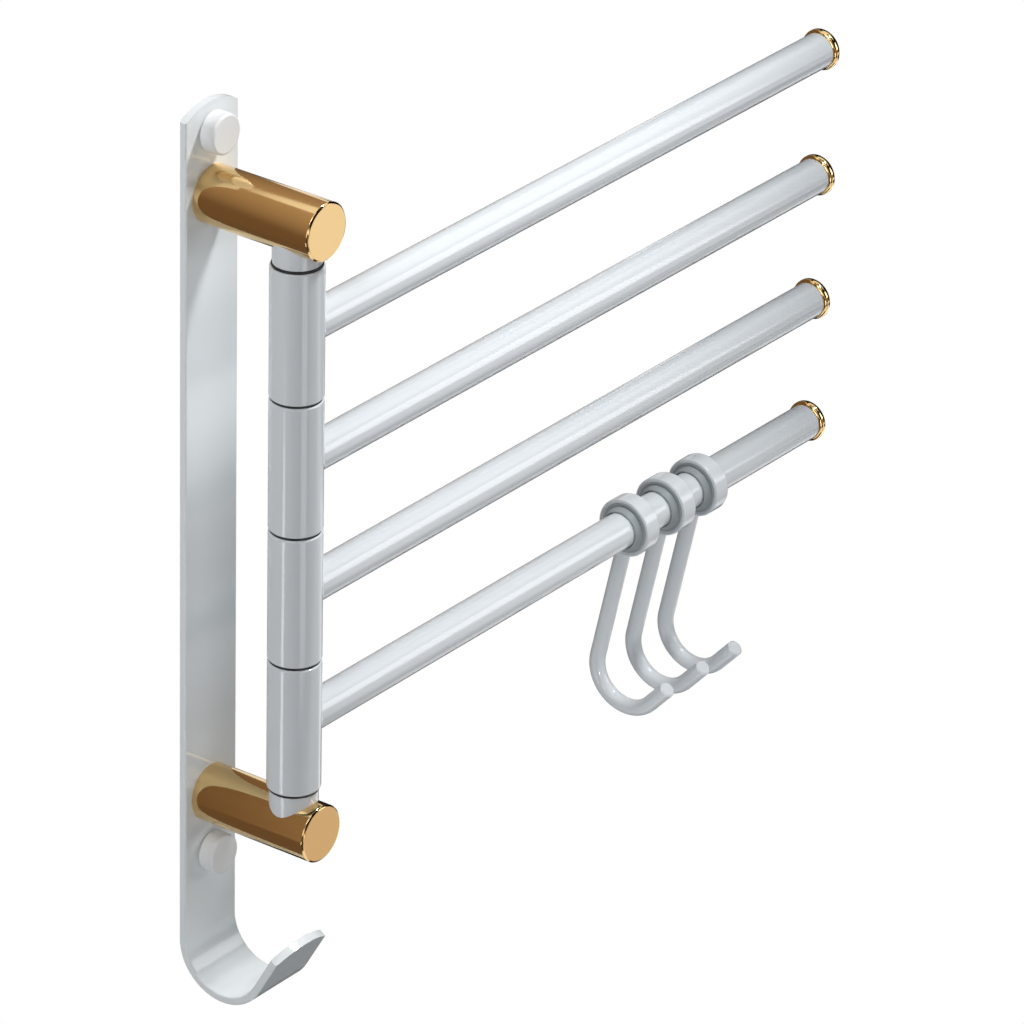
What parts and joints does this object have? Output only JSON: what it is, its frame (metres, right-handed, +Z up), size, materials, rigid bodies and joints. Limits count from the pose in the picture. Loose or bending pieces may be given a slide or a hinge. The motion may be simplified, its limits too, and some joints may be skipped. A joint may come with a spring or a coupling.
{
  "type": "swing arm towel bar",
  "caption": "Wall rack whose tubular arms swing about a vertical post held off a narrow plate, with a hook at the plate's foot and ring hooks that slide along the lowest arm.",
  "frame": {"origin": "on the wall plane, midway between the two wall screws, level with the post's middle seam", "axes": "+Z up, +Y into the wall, so the room is on the -Y side; the arms lie along +X at rest"},
  "size_m": [0.3775, 0.0718, 0.398],
  "materials": {
    "white_paint": "gloss",
    "polished_gold": "polished",
    "white_cap": "satin",
    "natural_nylon": "matte",
    "black_washer": "matte",
    "grey_liner": "matte",
    "bare_aluminium": "satin",
    "zinc_steel": "satin"
  },
  "bodies": {
    "wall_frame": {"back_plate": "white_paint", "upper_standoff": "polished_gold", "lower_standoff": "polished_gold", "upper_standoff_screw": "zinc_steel", "lower_standoff_screw": "zinc_steel", "upper_post_collar": "white_paint", "lower_post_collar": "white_paint", "pivot_shaft": "zinc_steel", "upper_screw_cap": "white_cap", "lower_screw_cap": "white_cap", "upper_cap_base": "natural_nylon", "lower_cap_base": "natural_nylon", "washer_1": "black_washer", "washer_2": "black_washer", "washer_3": "black_washer", "washer_4": "black_washer", "washer_5": "black_washer"},
    "arm_1": {"sleeve_1": "white_paint", "upper_bush_1": "natural_nylon", "lower_bush_1": "natural_nylon", "arm_tube_1": "white_paint", "arm_plug_1": "bare_aluminium", "arm_screw_1": "zinc_steel", "arm_end_cap_1": "polished_gold"},
    "arm_2": {"sleeve_2": "white_paint", "upper_bush_2": "natural_nylon", "lower_bush_2": "natural_nylon", "arm_tube_2": "white_paint", "arm_plug_2": "bare_aluminium", "arm_screw_2": "zinc_steel", "arm_end_cap_2": "polished_gold"},
    "arm_3": {"sleeve_3": "white_paint", "upper_bush_3": "natural_nylon", "lower_bush_3": "natural_nylon", "arm_tube_3": "white_paint", "arm_plug_3": "bare_aluminium", "arm_screw_3": "zinc_steel", "arm_end_cap_3": "polished_gold"},
    "arm_4": {"sleeve_4": "white_paint", "upper_bush_4": "natural_nylon", "lower_bush_4": "natural_nylon", "arm_tube_4": "white_paint", "arm_plug_4": "bare_aluminium", "arm_screw_4": "zinc_steel", "arm_end_cap_4": "polished_gold"},
    "hook_slider_1": {"hook_liner_1": "grey_liner"},
    "hook_1": {"hook_ring_1": "white_paint", "hook_rod_1": "white_paint"},
    "hook_slider_2": {"hook_liner_2": "grey_liner"},
    "hook_2": {"hook_ring_2": "white_paint", "hook_rod_2": "white_paint"},
    "hook_slider_3": {"hook_liner_3": "grey_liner"},
    "hook_3": {"hook_ring_3": "white_paint", "hook_rod_3": "white_paint"}
  },
  "joints": [
    {"name": "arm_1_swivel", "type": "hinge", "parent": "wall_frame", "child": "arm_1", "pos_m": [0, -0.047, 0], "axis": [0, 0, 1], "range_deg": [-180, 0]},
    {"name": "arm_2_swivel", "type": "hinge", "parent": "wall_frame", "child": "arm_2", "pos_m": [0, -0.047, 0], "axis": [0, 0, 1], "range_deg": [-180, 0]},
    {"name": "arm_3_swivel", "type": "hinge", "parent": "wall_frame", "child": "arm_3", "pos_m": [0, -0.047, 0], "axis": [0, 0, 1], "range_deg": [-180, 0]},
    {"name": "arm_4_swivel", "type": "hinge", "parent": "wall_frame", "child": "arm_4", "pos_m": [0, -0.047, 0], "axis": [0, 0, 1], "range_deg": [-180, 0]},
    {"name": "hook_1_slide", "type": "slide", "parent": "arm_4", "child": "hook_slider_1", "axis": [1, 0, 0], "range_m": [-0.203, 0.0105]},
    {"name": "hook_1_swing", "type": "hinge", "parent": "hook_slider_1", "child": "hook_1", "pos_m": [0.22887, -0.047, -0.0885], "axis": [1, 0, 0], "range_deg": [-75, 75]},
    {"name": "hook_2_slide", "type": "slide", "parent": "arm_4", "child": "hook_slider_2", "axis": [1, 0, 0], "range_m": [-0.0105, 0.0082]},
    {"name": "hook_2_swing", "type": "hinge", "parent": "hook_slider_2", "child": "hook_2", "pos_m": [0.25487, -0.047, -0.0885], "axis": [1, 0, 0], "range_deg": [-75, 75]},
    {"name": "hook_3_slide", "type": "slide", "parent": "arm_4", "child": "hook_slider_3", "axis": [1, 0, 0], "range_m": [-0.0082, 0.0705]},
    {"name": "hook_3_swing", "type": "hinge", "parent": "hook_slider_3", "child": "hook_3", "pos_m": [0.27833, -0.047, -0.0885], "axis": [1, 0, 0], "range_deg": [-75, 75]}
  ]
}
